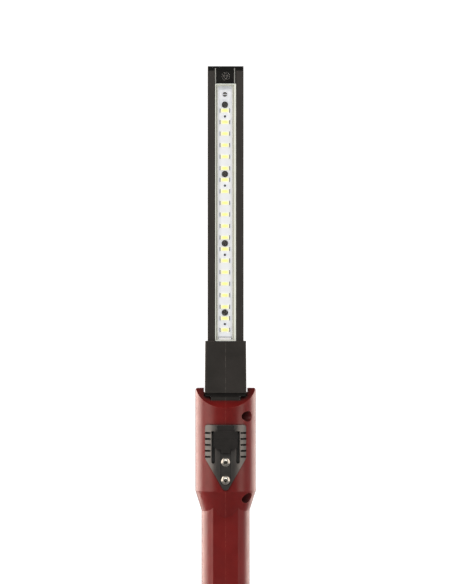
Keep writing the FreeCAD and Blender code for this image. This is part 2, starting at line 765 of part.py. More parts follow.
def end_cap_gasket():
    inset = 0.3
    gasket = box(inset - BAR_HALF, BAR_HALF - inset, BAR_FRONT + inset, BAR_BACK - inset,
                 BAR_END, BAR_END + CAP_JOINT)
    return gasket.cut(box(-CHANNEL_HALF, CHANNEL_HALF, -20, CHANNEL_FLOOR, BAR_END - 1, BAR_END + 1))


def end_cap_screw():
    seat = BAR_FRONT + TAB_SCREW_SINK
    screw = turned(cross_screw(1.2, 2.5, 1.2, CHANNEL_FLOOR + 3.3 - seat), Vector(0, 0, 1), -90)
    return moved(screw, 0, seat, TAB_SCREW_Z)


def wire_pair(low, high, half_pitch, y):
    wire = rod_z(WIRE_RADIUS, low, high, half_pitch, y)
    return group([wire, mirror_x(wire)])


def bar_wires():
    return wire_pair(TONGUE_BOTTOM + 0.6, BAR_BOTTOM + 0.9, 1.0, BAR_WIRE_Y)


# ---- inside the handle --------------------------------------------------------------------------

def handle_wires():
    return wire_pair(CELL_TOP + 4.5, TONGUE_BOTTOM - 2.0, 1.0, HANDLE_WIRE_Y)


def battery_cell():
    can = rod_z(CELL_RADIUS, CELL_BOTTOM, CELL_TOP, 0, CELL_Y)
    button = rod_z(3.0, CELL_TOP, CELL_TOP + 1.0, 0, CELL_Y)
    return fuse([can, button])


def battery_sleeve():
    low, high = CELL_BOTTOM + 0.4, CELL_TOP - 0.4
    sleeve = rod_z(CELL_RADIUS + SLEEVE_THICK, low, high, 0, CELL_Y)
    return sleeve.cut(rod_z(CELL_RADIUS, low, high, 0, CELL_Y))


def battery_carrier():
    half = GRIP_HALF - WALL - 1.3
    thick = 1.6
    low = box(-half, half, CARRIER_FRONT, CARRIER_BACK, CELL_BOTTOM - 5.0, CELL_BOTTOM - 3.4)
    high = box(-half, half, CARRIER_FRONT, CARRIER_BACK, CELL_TOP + 2.4, CELL_TOP + 4.0)
    rail = box(half - thick, half, -3.0, 3.0, CELL_BOTTOM - 4.0, CELL_TOP + 3.0)
    room = WIRE_RADIUS + 0.2
    notch = box(BATTERY_WIRE_X - room, half + 1.0, CARRIER_FRONT - 1.0, BATTERY_WIRE_Y + room,
                CELL_BOTTOM - 6.0, CELL_TOP + 5.0)
    return cut(fuse([low, high, rail, mirror_x(rail)]), [notch, mirror_x(notch)])


def battery_contact_top():
    half = 4.0
    return box(-5.0, 5.0, CELL_Y - half, CELL_Y + half, CELL_TOP + 1.0, CELL_TOP + 2.4)


def battery_spring_contact():
    thick = 0.5
    low = CELL_BOTTOM - 3.4
    outline = sharp([
        (-5.0, low), (5.0, low), (5.0, low + thick), (-2.0, low + thick),
        (2.5, CELL_BOTTOM - thick), (5.0, CELL_BOTTOM - thick), (5.0, CELL_BOTTOM),
        (2.2, CELL_BOTTOM), (-3.4, low + thick), (-5.0, low + thick),
    ])
    return slab(outline, in_yz(-3.0), Vector(6.0, 0, 0))


def battery_wires():
    return wire_pair(CELL_BOTTOM - 5.0, CELL_TOP, BATTERY_WIRE_X, BATTERY_WIRE_Y)


def control_board():
    board = box(-10.3, 10.3, BOARD_Y, BOARD_Y + BOARD_THICK, BOARD_LOW, BOARD_HIGH)
    return board.cut(rod_y(1.2, BOARD_Y, BOARD_Y + BOARD_THICK, 0, BOARD_LOW + 3.0))


def board_components():
    back = BOARD_Y + BOARD_THICK
    screw_room = rod_x(COUNTERBORE_RADIUS, -20, 20, *SCREW_PLACES[3])
    coil = box(-8.0, -1.0, back, back + 3.2, 72.0, 79.0)
    charger = box(1.5, 6.5, back, back + 1.6, 70.0, 75.0)
    resistor = box(2.0, 5.0, back, back + 1.2, 79.0, 81.0)
    driver = box(-3.0, 4.5, back, back + 1.6, 59.5, 67.0).cut(screw_room)
    capacitor = rod_y(2.6, back, back + 5.0, 7.5, 56.5)
    return group([coil, charger, resistor, driver, capacitor])


def tact_switch():
    half = 3.0
    body = box(-half, half, BOARD_Y - 2.0, BOARD_Y, BUTTON_Z - half, BUTTON_Z + half)
    return body.cut(rod_y(1.9, BOARD_Y - 3.0, BOARD_Y - 0.5, 0, BUTTON_Z))


def power_button():
    inner_wall = GRIP_FRONT + WALL
    front = GRIP_FRONT - BUTTON_PROUD
    dish_radius = 14.0
    cap = rod_y(BUTTON_RADIUS, front, inner_wall + 0.4, 0, BUTTON_Z)
    dish = Part.makeSphere(dish_radius, Vector(0, front - dish_radius + 0.4, BUTTON_Z))
    flange = rod_y(BUTTON_RADIUS + 0.75, inner_wall + 0.1, inner_wall + 0.9, 0, BUTTON_Z)
    plunger = rod_y(1.6, inner_wall + 0.5, BOARD_Y - 1.6, 0, BUTTON_Z)
    return fuse([cap, flange, plunger]).cut(dish)


# ---- tail ---------------------------------------------------------------------------------------

def neck_groove(radius):
    ring = rod_z(radius, RETAINER_BOTTOM, RETAINER_TOP, 0, AXIS_Y)
    return ring.cut(rod_z(NECK_RADIUS - NECK_GROOVE, RETAINER_BOTTOM, RETAINER_TOP, 0, AXIS_Y))


def tail_cap():
    side = HOOK_HALF + 0.4
    recess = box(-side, side, HOOK_FRONT - GAP, 20, -1, HOOK_ARC_Z + HOOK_HALF + 1.0)
    neck = rod_z(NECK_RADIUS, TAIL_CAP_TOP - 1, NECK_TOP, 0, AXIS_Y)
    return cut(fuse([grip_prism(0.15, 0.0, TAIL_CAP_TOP), neck]), [
        recess,
        neck_groove(NECK_RADIUS + 5),
        rod_z(MAGNET_CUP_RADIUS, -1, MAGNET_CUP_TOP, 0, MAGNET_Y),
        rod_z(MAGNET_SCREW_RADIUS, -1, 16.0, 0, MAGNET_Y),
        rod_z(5.0, 18.0, NECK_TOP + 1, 0, AXIS_Y),
        hook_pin(),
    ])


def swivel_retainer():
    opening = box(-4.0, 4.0, AXIS_Y, AXIS_Y + 15, RETAINER_BOTTOM - 1, RETAINER_TOP + 1)
    return neck_groove(RETAINER_RADIUS).cut(opening)


def magnet_cup():
    roof = MAGNET_CUP_TOP - MAGNET_CUP_ROOF
    cup = rod_z(MAGNET_CUP_RADIUS, 0, MAGNET_CUP_TOP, 0, MAGNET_Y)
    return cut(cup, [rod_z(MAGNET_CUP_RADIUS - MAGNET_CUP_WALL, 0, roof, 0, MAGNET_Y),
                     rod_z(MAGNET_SCREW_RADIUS, 0, MAGNET_CUP_TOP, 0, MAGNET_Y)])


def magnet():
    roof = MAGNET_CUP_TOP - MAGNET_CUP_ROOF
    disc = rod_z(MAGNET_CUP_RADIUS - MAGNET_CUP_WALL - 0.2, 0, roof, 0, MAGNET_Y)
    return disc.cut(rod_z(2.9, 0, roof, 0, MAGNET_Y))


def magnet_screw():
    roof = MAGNET_CUP_TOP - MAGNET_CUP_ROOF
    shank = rod_z(MAGNET_SCREW_RADIUS, roof - 0.1, 15.0, 0, MAGNET_Y)
    head = rod_z(2.6, 0.8, roof, 0, MAGNET_Y)
    reach, width, depth = 1.6, 0.4, 1.8
    cross = [box(-reach, reach, MAGNET_Y - width, MAGNET_Y + width, 0, depth),
             box(-width, width, MAGNET_Y - reach, MAGNET_Y + reach, 0, depth)]
    return cut(fuse([shank, head]), cross)


def stow_hook():
    thick = Vector(0, HOOK_BACK - HOOK_FRONT, 0)
    foot_top = HOOK_PIVOT_Z + 4.3
    tip_end = HOOK_ARC_Z - 9.0
    foot = box(-HOOK_HALF, HOOK_HALF, HOOK_FRONT, HOOK_BACK, HOOK_PIVOT_Z, foot_top)
    eye = rod_x((HOOK_BACK - HOOK_FRONT) / 2, -HOOK_HALF, HOOK_HALF, HOOK_PIVOT_Y, HOOK_PIVOT_Z)
    shank = box(-HOOK_HALF, -HOOK_THROAT, HOOK_FRONT, HOOK_BACK, foot_top - 1, HOOK_ARC_Z)
    bend = rod_y(HOOK_HALF, HOOK_FRONT, HOOK_BACK, 0, HOOK_ARC_Z)
    bend = bend.cut(rod_y(HOOK_THROAT, HOOK_FRONT, HOOK_BACK, 0, HOOK_ARC_Z))
    bend = bend.cut(box(-20, 20, HOOK_FRONT, HOOK_BACK, HOOK_ARC_Z - 20, HOOK_ARC_Z))
    width = HOOK_HALF - HOOK_THROAT
    tip = slab([(HOOK_THROAT, tip_end, 0.45 * width), (HOOK_HALF, tip_end, 0.45 * width),
                (HOOK_HALF, HOOK_ARC_Z, 0), (HOOK_THROAT, HOOK_ARC_Z, 0)], in_xz(HOOK_FRONT), thick)
    hook = fuse([foot, eye, shank, bend, tip])
    return hook.cut(rod_x(HOOK_PIN_RADIUS + SLIP, -HOOK_HALF, HOOK_HALF, HOOK_PIVOT_Y, HOOK_PIVOT_Z))


def hook_pin():
    return rod_x(HOOK_PIN_RADIUS, -HOOK_PIN_HALF, HOOK_PIN_HALF, HOOK_PIVOT_Y, HOOK_PIVOT_Z)


# ---- the whole light ----------------------------------------------------------------------------

def build():
    shell = housing_shell()
    bracket = bracket_whole()
    left = box(-40, 0, -40, 40, 0, 450)
    right = box(0, 40, -40, 40, 0, 450)
    return {
        "housing_left": housing_half(shell, -1),
        "housing_right": housing_half(shell, 1),
        "housing_screws": housing_screws(),
        "charge_port_plate": charge_port_plate(),
        "charge_block": charge_block(),
        "charge_contacts": charge_contacts(),
        "contact_nuts": contact_nuts(),
        "charge_leads": charge_leads(),
        "charge_port_gasket": charge_port_gasket(),
        "hinge_pin": hinge_pin(),
        "hinge_bushes": hinge_bushes(),
        "hinge_washers": hinge_washers(),
        "bracket_left": bracket.common(left),
        "bracket_right": bracket.common(right),
        "bracket_screws": bracket_screws(),
        "bar_clamp_screws": bar_clamp_screws(),
        "bar_extrusion": bar_extrusion(),
        "led_board": led_board(),
        "led_packages": led_packages(),
        "led_phosphors": led_phosphors(),
        "solder_pads": solder_pads(),
        "board_screws": board_screws(),
        "lens": lens(),
        "end_cap": end_cap(),
        "end_cap_gasket": end_cap_gasket(),
        "end_cap_screw": end_cap_screw(),
        "bar_wires": bar_wires(),
        "handle_wires": handle_wires(),
        "battery_cell": battery_cell(),
        "battery_sleeve": battery_sleeve(),
        "battery_carrier": battery_carrier(),
        "battery_contact_top": battery_contact_top(),
        "battery_spring_contact": battery_spring_contact(),
        "battery_wires": battery_wires(),
        "control_board": control_board(),
        "board_components": board_components(),
        "tact_switch": tact_switch(),
        "power_button": power_button(),
        "tail_cap": tail_cap(),
        "swivel_retainer": swivel_retainer(),
        "magnet_cup": magnet_cup(),
        "magnet": magnet(),
        "magnet_screw": magnet_screw(),
        "stow_hook": stow_hook(),
        "hook_pin": hook_pin(),
    }


os.makedirs("parts", exist_ok=True)
for name, shape in build().items():
    solids = shape.Solids
    whole = solids[0] if len(solids) == 1 else Part.makeCompound(solids)
    whole.exportStep(f"parts/{name}.step")
    print(name, len(solids), round(whole.Volume, 1), whole.isValid())
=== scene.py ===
import json
import math

import bmesh
import bpy
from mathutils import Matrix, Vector


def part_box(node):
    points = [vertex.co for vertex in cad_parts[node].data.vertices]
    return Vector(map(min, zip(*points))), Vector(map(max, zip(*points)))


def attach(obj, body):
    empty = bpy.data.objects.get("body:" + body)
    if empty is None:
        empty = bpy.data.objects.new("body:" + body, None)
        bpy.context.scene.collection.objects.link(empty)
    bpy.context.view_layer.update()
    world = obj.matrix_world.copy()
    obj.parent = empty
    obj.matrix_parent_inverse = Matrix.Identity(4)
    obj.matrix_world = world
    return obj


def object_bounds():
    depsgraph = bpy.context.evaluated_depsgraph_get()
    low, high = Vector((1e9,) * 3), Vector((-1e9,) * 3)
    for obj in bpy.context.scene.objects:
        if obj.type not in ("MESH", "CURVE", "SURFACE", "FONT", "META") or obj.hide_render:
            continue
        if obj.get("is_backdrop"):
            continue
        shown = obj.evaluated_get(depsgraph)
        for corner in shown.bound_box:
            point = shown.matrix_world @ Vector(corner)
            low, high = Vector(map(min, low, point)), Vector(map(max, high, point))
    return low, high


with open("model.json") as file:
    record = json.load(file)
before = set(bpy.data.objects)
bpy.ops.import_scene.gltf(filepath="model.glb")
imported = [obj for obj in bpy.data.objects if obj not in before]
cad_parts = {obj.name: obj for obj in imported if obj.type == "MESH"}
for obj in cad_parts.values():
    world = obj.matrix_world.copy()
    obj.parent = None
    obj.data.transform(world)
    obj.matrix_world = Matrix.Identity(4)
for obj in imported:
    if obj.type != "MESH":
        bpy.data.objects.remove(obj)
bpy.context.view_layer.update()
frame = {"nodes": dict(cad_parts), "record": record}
nodes = frame["nodes"]
MM = 0.001

# bottom and top of the band on the bracket's foot where the shadow under the bracket is painted
# darker, in metres
FOOT_SHADOW_BOTTOM = 0.2099
FOOT_SHADOW_TOP = 0.2121
FOOT_SHADOW_FADE = 0.15 * MM

# the row of light-emitting diodes
LED_COUNT = 20
GEL_HALF_HEIGHT = 1.025 * MM

# where nearly all the values of a noise lie
NOISE_MIDDLE = (0.3, 0.7)

# moulded plastic: sizes of its patterns, and how much of its colour is left where shade is painted
CLOUD_SIZE = 18 * MM
POLISH_PATCH = 6 * MM
# edges of moulded plastic are painted paler, as wear and as a painted highlight
WEAR_AND_HIGHLIGHT_PATCH = 2.5 * MM
WEAR_AND_HIGHLIGHT_WIDTH = 0.35 * MM
SHADE = 0.3

# CAD pieces: how near points are to be joined, and the least angle of an edge to be rounded
WELD_DISTANCE = 0.001 * MM
SHARP_ANGLE = math.radians(38)

# radiance of the room in front of the light and behind it, how much of it is left overhead, and
# radiance of the backdrop
ROOM_FRONT = 0.16
ROOM_BACK = 1.0
ROOM_CEILING = 0.12
BACKDROP = 1.2

# floor, which lies a hair below the light, and the point that the soft boxes face
FLOOR_RADIUS = 0.85
FLOOR_DROP = 0.2 * MM
LIGHT_TARGET = Vector((0.0, 0.0, 0.27))

# camera: the height that it sees at the front of the bar, and its middle below the top of the light
VIEW_HEIGHT = 0.368
CAMERA_DISTANCE = 2.4
CAMERA_BELOW_TOP = 0.1423
CAMERA_X = 0.25 * MM
SENSOR_HEIGHT = 24.0


# ---- node helpers -------------------------------------------------------------------------------

# places of the colour sockets on a Mix node
MIX_FIRST, MIX_SECOND = 6, 7
MIX_RESULT = 2


class Shader:
    """A Principled material whose nodes are added one by one."""

    def __init__(self, name):
        self.material = bpy.data.materials.new(name)
        self.material.use_nodes = True
        self.tree = self.material.node_tree
        self.surface = self.tree.nodes["Principled BSDF"]
        self.place = self.add("ShaderNodeTexCoord").outputs["Object"]

    def add(self, kind, **values):
        node = self.tree.nodes.new(kind)
        for key, value in values.items():
            setattr(node, key, value)
        return node

    def link(self, start, end):
        self.tree.links.new(start, end)

    def set(self, **values):
        """Sets sockets of the surface that are the same all over it, such as Metallic=1.0."""
        for key, value in values.items():
            self.surface.inputs[key.replace("_", " ")].default_value = value

    def stretched(self, x, y, z):
        """Object coordinates multiplied by x, y, z."""
        mapping = self.add("ShaderNodeMapping")
        mapping.inputs["Scale"].default_value = (x, y, z)
        self.link(self.place, mapping.inputs["Vector"])
        return mapping.outputs["Vector"]

    def noise(self, size, detail=3.0, roughness=0.5, coordinates=None):
        """Noise whose largest features are about size metres across."""
        node = self.add("ShaderNodeTexNoise")
        node.inputs["Scale"].default_value = 1.0 / size
        node.inputs["Detail"].default_value = detail
        node.inputs["Roughness"].default_value = roughness
        self.link(coordinates or self.place, node.inputs["Vector"])
        return node.outputs["Fac"]

    def remap(self, value, low, high, out_low, out_high):
        node = self.add("ShaderNodeMapRange")
        node.inputs["From Min"].default_value = low
        node.inputs["From Max"].default_value = high
        node.inputs["To Min"].default_value = out_low
        node.inputs["To Max"].default_value = out_high
        self.link(value, node.inputs["Value"])
        return node.outputs["Result"]

    def spread(self, noise, out_low=0.0, out_high=1.0):
        """The middle of a noise stretched over a range."""
        return self.remap(noise, *NOISE_MIDDLE, out_low, out_high)

    def mix(self, factor, first, second):
        node = self.add("ShaderNodeMix", data_type="RGBA")
        self.link(factor, node.inputs["Factor"])
        for place, colour in ((MIX_FIRST, first), (MIX_SECOND, second)):
            if hasattr(colour, "node"):
                self.link(colour, node.inputs[place])
            else:
                node.inputs[place].default_value = (*colour, 1.0)
        return node.outputs[MIX_RESULT]

    def math(self, operation, *values):
        node = self.add("ShaderNodeMath", operation=operation)
        for socket, value in zip(node.inputs, values):
            if hasattr(value, "node"):
                self.link(value, socket)
            else:
                socket.default_value = value
        return node.outputs[0]

    def axis(self, name):
        """Object coordinate along X, Y or Z, in metres."""
        split = self.add("ShaderNodeSeparateXYZ")
        self.link(self.place, split.inputs["Vector"])
        return split.outputs[name]

    def within(self, axis, low, high, soft):
        """1 where the coordinate is between low and high, falling to 0 over soft on both sides."""
        value = self.axis(axis)
        rise = self.remap(value, low - soft, low, 0.0, 1.0)
        fall = self.remap(value, high, high + soft, 1.0, 0.0)
        return self.math("MULTIPLY", rise, fall)

    def edges(self, radius):
        """1 on sharp edges, 0 on flat faces, from the angle between bevelled and true normals."""
        flat, sharp = 0.97, 0.80
        bevel = self.add("ShaderNodeBevel", samples=4)
        bevel.inputs["Radius"].default_value = radius
        geometry = self.add("ShaderNodeNewGeometry")
        dot = self.add("ShaderNodeVectorMath", operation="DOT_PRODUCT")
        self.link(bevel.outputs["Normal"], dot.inputs[0])
        self.link(geometry.outputs["Normal"], dot.inputs[1])
        return self.remap(dot.outputs["Value"], flat, sharp, 0.0, 1.0)

    def hollow(self, reach, open_above, shut_below):
        """1 deep in a hollow about as wide as reach, 0 on open faces.

        open_above and shut_below are how much of the surroundings an open face and a shut one see.
        """
        node = self.add("ShaderNodeAmbientOcclusion", samples=6)
        node.inputs["Distance"].default_value = reach
        return self.remap(node.outputs["AO"], open_above, shut_below, 0.0, 1.0)

    def colour(self, value):
        self.link(value, self.surface.inputs["Base Color"])

    def roughness(self, value):
        self.link(value, self.surface.inputs["Roughness"])

    def bump(self, height, distance, strength=1.0, below=None):
        """Bump on the surface, on top of the normal below if there is one."""
        node = self.add("ShaderNodeBump")
        node.inputs["Distance"].default_value = distance
        node.inputs["Strength"].default_value = strength
        self.link(height, node.inputs["Height"])
        if below is not None:
            self.link(below, node.inputs["Normal"])
        self.link(node.outputs["Normal"], self.surface.inputs["Normal"])
        return node.outputs["Normal"]


# ---- materials ----------------------------------------------------------------------------------

def moulded(name, dark, light, roughness, grain, depth, wear_and_highlight, specular=0.5, shade=None,
            groove=None, index=1.5):
    """Moulded plastic or rubber: clouded colour, spark-eroded grain, and edges painted paler, as wear
    and as a painted highlight.

    grain and depth are the width and height of the grain. shade is a band (axis, low, high, soft)
    where shadow is painted darker. groove is the width of hollows that are never polished, so
    that they stay dull, and that are painted darker as shade.
    """
    shader = Shader(name)
    shaded = [SHADE * part for part in dark]
    clouds = shader.noise(CLOUD_SIZE, 4.0, 0.6)
    body = shader.mix(shader.remap(clouds, 0.35, 0.65, 0.0, 1.0), dark, light)
    patches = shader.remap(shader.noise(WEAR_AND_HIGHLIGHT_PATCH), 0.4, 0.6, 0.2, 1.0)
    # painted highlight and wear: sharp edges are painted paler in patches
    wear_and_highlight_mask = shader.math("MULTIPLY", shader.edges(WEAR_AND_HIGHLIGHT_WIDTH), patches)
    painted = shader.mix(wear_and_highlight_mask, body, wear_and_highlight)
    # painted shadow: the band given by shade is darkened
    if shade:
        painted = shader.mix(shader.within(*shade), painted, shaded)
    handled = shader.noise(POLISH_PATCH, 5.0, 0.65)
    polish = shader.spread(handled, roughness - 0.05, roughness + 0.06)
    # painted shade: hollows found by ambient occlusion are darkened, and made rough
    if groove:
        hollow = shader.hollow(groove, 0.90, 0.60)
        painted = shader.mix(hollow, painted, shaded)
        polish = shader.math("MAXIMUM", polish, hollow)
    shader.colour(painted)
    shader.roughness(polish)
    coarse = shader.bump(shader.noise(grain, 2.0), depth)
    shader.bump(shader.noise(0.4 * grain, 2.0), 0.5 * depth, 0.7, coarse)
    shader.set(Specular_IOR_Level=specular, IOR=index)
    return shader.material


def drawn_metal(name, dark, light, roughness, metallic, depth, along=(1.0, 1.0, 1.0), specular=0.5):
    """Metal with fine draw lines: along stretches the streaks, as a scale for each axis."""
    shader = Shader(name)
    lines = shader.noise(0.25 * MM, 3.0, 0.6, shader.stretched(*along))
    shader.colour(shader.mix(shader.spread(lines), dark, light))
    patches = shader.noise(9 * MM, 4.0, 0.6)
    shader.roughness(shader.spread(patches, roughness - 0.06, roughness + 0.07))
    shader.bump(lines, depth)
    shader.set(Metallic=metallic, Specular_IOR_Level=specular)
    return shader.material


def plated_stud(name):
    """Bright plated stud whose dimple is painted dark olive as shade."""
    shader = Shader(name)
    turned = shader.noise(0.25 * MM, 3.0, 0.6)
    plated = shader.mix(shader.spread(turned), (0.52, 0.51, 0.46), (0.68, 0.67, 0.62))
    # painted shade: the dimple, found by ambient occlusion, is darkened
    shader.colour(shader.mix(shader.hollow(1.2 * MM, 0.97, 0.80), plated, (0.035, 0.033, 0.020)))
    shader.roughness(shader.spread(turned, 0.22, 0.32))
    shader.bump(turned, 0.003 * MM)
    shader.set(Metallic=0.75)
    return shader.material


def worn_and_highlit_screw(name):
    """Blackened screw whose rims and slot edges are painted near white, as worn metal and as a
    painted highlight.
    """
    shader = Shader(name)
    grains = shader.noise(0.5 * MM, 3.0, 0.6)
    patches = shader.remap(grains, 0.35, 0.55, 0.35, 1.0)
    # painted highlight and wear: sharp edges are painted bright
    wear_and_highlight = shader.math("MULTIPLY", shader.edges(0.30 * MM), patches)
    shader.colour(shader.mix(wear_and_highlight, (0.010, 0.010, 0.010), (0.95, 0.94, 0.92)))
    shader.roughness(shader.spread(grains, 0.22, 0.34))
    shader.bump(grains, 0.004 * MM)
    shader.set(Metallic=0.2)
    return shader.material


def printed(name, dark, light, roughness, size, depth, painted_glow=0.0):
    """A smooth lacquered surface with faint mottling, such as a solder mask or a glossy cap, with a
    painted glow.
    """
    shader = Shader(name)
    mottle = shader.noise(size, 4.0, 0.55)
    shader.colour(shader.mix(shader.spread(mottle), dark, light))
    shader.roughness(shader.spread(mottle, roughness - 0.04, roughness + 0.05))
    shader.bump(shader.noise(0.3 * size, 3.0), depth)
    # painted light: the surface glows in its light colour though it is no lamp
    shader.set(Emission_Color=(*light, 1.0), Emission_Strength=painted_glow)
    return shader.material


def clear_plate(name):
    """Clear plate: nearly all seen through, with a thin gloss and faint wiped smears."""
    shader = Shader(name)
    smears = shader.noise(25 * MM, 2.0, 0.5, shader.stretched(1.0, 1.0, 0.25))
    shader.roughness(shader.remap(smears, 0.35, 0.75, 0.03, 0.10))
    shader.colour(shader.mix(smears, (0.90, 0.92, 0.91), (0.97, 0.98, 0.98)))
    shader.set(Alpha=0.035)
    return shader.material


def plate_edge(name, dark, light, roughness, painted_glow):
    """Frosted or stepped edge of the clear plate, with a painted glow for the light it catches in the
    channel.
    """
    shader = Shader(name)
    streaks = shader.noise(2.2 * MM, 4.0, 0.6, shader.stretched(1.0, 1.0, 0.08))
    shader.colour(shader.mix(shader.spread(streaks), dark, light))
    shader.roughness(shader.spread(streaks, roughness - 0.05, roughness + 0.08))
    shader.bump(streaks, 0.01 * MM)
    # painted light: the edge glows in its light colour
    shader.set(Emission_Color=(*light, 1.0), Emission_Strength=painted_glow)
    return shader.material


def phosphor_gel(name):
    """Yellow gel, strongest in the middle of each package and creamy at its rim."""
    shader = Shader(name)
    low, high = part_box("led_phosphors")
    pitch = (high.z - low.z - 2 * GEL_HALF_HEIGHT) / (LED_COUNT - 1)
    across = shader.math("DIVIDE", shader.math("SUBTRACT", shader.axis("X"), (low.x + high.x) / 2),
                         (high.x - low.x) / 2)
    rows = shader.math("SUBTRACT", shader.axis("Z"), low.z + GEL_HALF_HEIGHT)
    along = shader.math("PINGPONG", shader.math("DIVIDE", rows, pitch), 0.5)
    along = shader.math("MULTIPLY", along, pitch / GEL_HALF_HEIGHT)
    distance = shader.math("SQRT", shader.math("ADD", shader.math("MULTIPLY", across, across),
                                               shader.math("MULTIPLY", along, along)))
    uneven = 0.08
    grains = shader.spread(shader.noise(0.12 * MM, 2.0), -uneven, uneven)
    rim = shader.remap(shader.math("ADD", distance, grains), 0.50, 1.0, 0.0, 1.0)
    shader.colour(shader.mix(rim, (0.97, 0.98, 0.24), (0.98, 0.98, 0.66)))
    shader.roughness(shader.remap(grains, -uneven, uneven, 0.25, 0.4))
    shader.bump(grains, 0.02 * MM)
    # painted light: the gel glows yellow, though it is no lamp
    shader.set(Emission_Color=(1.0, 0.99, 0.38, 1.0), Emission_Strength=0.48)
    return shader.material


